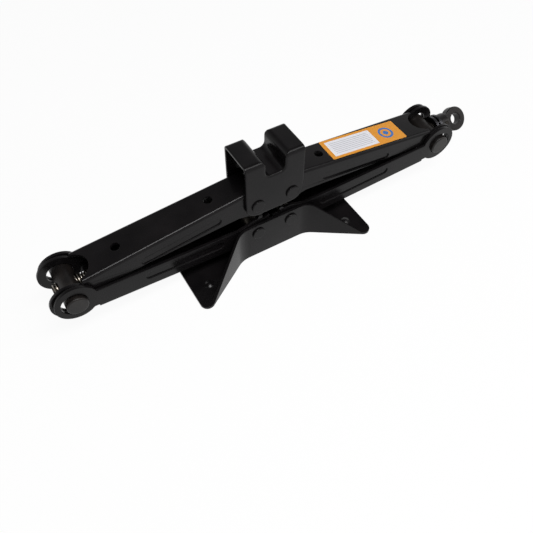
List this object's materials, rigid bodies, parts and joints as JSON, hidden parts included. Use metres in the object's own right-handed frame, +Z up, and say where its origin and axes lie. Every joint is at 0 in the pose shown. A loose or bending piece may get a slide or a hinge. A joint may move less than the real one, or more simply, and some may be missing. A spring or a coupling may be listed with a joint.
{
  "type": "scissor jack",
  "caption": "Screw-driven scissor jack with geared channel arms, a splayed pressed-steel base, a notched saddle and a hook eye that turns the lead screw.",
  "frame": {"origin": "middle of the base's flat underside, on the ground", "axes": "+X along the lead screw towards the drive eye, +Z up, jack closed"},
  "size_m": [0.3851, 0.0876, 0.098],
  "materials": {
    "black_paint": "semi-gloss black enamel on pressed steel",
    "plain_steel": "plain steel, lightly oiled",
    "bearing_steel": "hardened steel, blued and oiled",
    "screw_steel": "rolled thread with a thin coat of pale yellow grease"
  },
  "bodies": {
    "base": {"base_plate": "black_paint", "base_rivet_left": "black_paint", "base_rivet_right": "black_paint", "base_spacer_left": "plain_steel", "base_spacer_right": "plain_steel"},
    "lower_arm_left": {"lower_arm_left": "black_paint"},
    "lower_arm_right": {"lower_arm_right": "black_paint"},
    "upper_arm_left": {"upper_arm_left": "black_paint"},
    "upper_arm_right": {"upper_arm_right": "black_paint"},
    "saddle": {"saddle": "black_paint", "saddle_rivet_left": "black_paint", "saddle_rivet_right": "black_paint", "saddle_spacer_left": "plain_steel", "saddle_spacer_right": "plain_steel"},
    "trunnion_left": {"trunnion_nut": "black_paint"},
    "trunnion_right": {"trunnion_plain": "black_paint", "bearing_race_fixed": "bearing_steel", "bearing_balls": "bearing_steel"},
    "screw": {"lead_screw": "screw_steel", "drive_eye": "black_paint", "eye_pin": "plain_steel", "bearing_race_turning": "bearing_steel"}
  },
  "joints": [
    {"name": "lower_left_pivot", "type": "hinge", "parent": "base", "child": "lower_arm_left", "pos_m": [-0.015, 0, 0.026], "axis": [0, 1, 0], "range_deg": [0, 55.75]},
    {"name": "lower_right_pivot", "type": "hinge", "parent": "base", "child": "lower_arm_right", "pos_m": [0.015, 0, 0.026], "axis": [0, 1, 0], "range_deg": [-57, 0]},
    {"name": "upper_left_elbow", "type": "hinge", "parent": "lower_arm_left", "child": "upper_arm_left", "pos_m": [-0.162, 0, 0.0415], "axis": [0, 1, 0], "range_deg": [-114, 0]},
    {"name": "upper_right_elbow", "type": "hinge", "parent": "lower_arm_right", "child": "upper_arm_right", "pos_m": [0.162, 0, 0.0415], "axis": [0, 1, 0], "range_deg": [0, 114]},
    {"name": "saddle_pivot", "type": "hinge", "parent": "upper_arm_left", "child": "saddle", "pos_m": [-0.015, 0, 0.057], "axis": [0, 1, 0], "range_deg": [0, 57]},
    {"name": "nut_swivel", "type": "hinge", "parent": "lower_arm_left", "child": "trunnion_left", "pos_m": [-0.162, 0, 0.0415], "axis": [0, 1, 0], "range_deg": [-57, 0]},
    {"name": "bearing_swivel", "type": "hinge", "parent": "lower_arm_right", "child": "trunnion_right", "pos_m": [0.162, 0, 0.0415], "axis": [0, 1, 0], "range_deg": [0, 57]},
    {"name": "screw_turn", "type": "hinge", "parent": "trunnion_right", "child": "screw", "pos_m": [0.162, 0, 0.0415], "axis": [-1, 0, 0], "range_deg": [0, 28500]}
  ],
  "couplings": [
    {"joint": "lower_right_pivot", "follows": "lower_left_pivot", "ratio": -1},
    {"joint": "upper_left_elbow", "follows": "lower_left_pivot", "ratio": -2},
    {"joint": "upper_right_elbow", "follows": "lower_left_pivot", "ratio": 2},
    {"joint": "saddle_pivot", "follows": "lower_left_pivot", "ratio": 1},
    {"joint": "nut_swivel", "follows": "lower_left_pivot", "ratio": -1},
    {"joint": "bearing_swivel", "follows": "lower_left_pivot", "ratio": 1},
    {"joint": "screw_turn", "follows": "lower_left_pivot", "ratio": 500}
  ]
}
